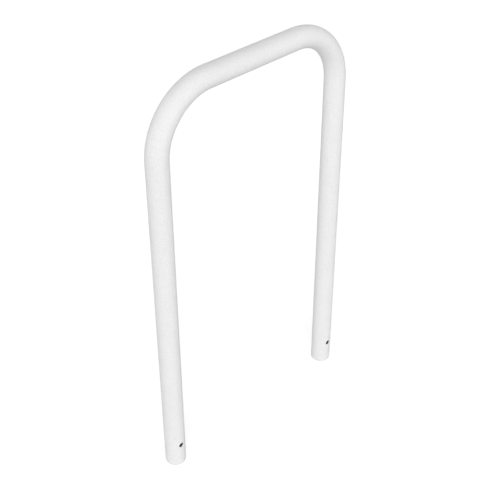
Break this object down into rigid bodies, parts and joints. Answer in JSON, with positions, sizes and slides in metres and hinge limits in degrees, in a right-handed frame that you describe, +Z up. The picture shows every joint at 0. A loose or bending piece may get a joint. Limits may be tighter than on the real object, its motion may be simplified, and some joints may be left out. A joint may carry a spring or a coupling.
{
  "type": "hoop barrier",
  "caption": "Hoop barrier of round steel tube bent into an upside-down U, with rounded top corners, a cross hole for an anchor bar near each foot and a flush plug in each foot.",
  "frame": {"origin": "midway between the two legs, in the plane of the feet's undersides", "axes": "+Z up along the legs, +X along the rail towards the right leg, +Y across the hoop's thickness, away from the pictured side"},
  "size_m": [0.7, 0.0602, 1.205],
  "materials": {
    "white_coat": "white powder coat, matte, with a fine orange peel",
    "plug_plastic": "moulded white polyethylene"
  },
  "bodies": {
    "root": {"hoop_tube": "white_coat", "left_foot_plug": "plug_plastic", "right_foot_plug": "plug_plastic"}
  },
  "joints": []
}
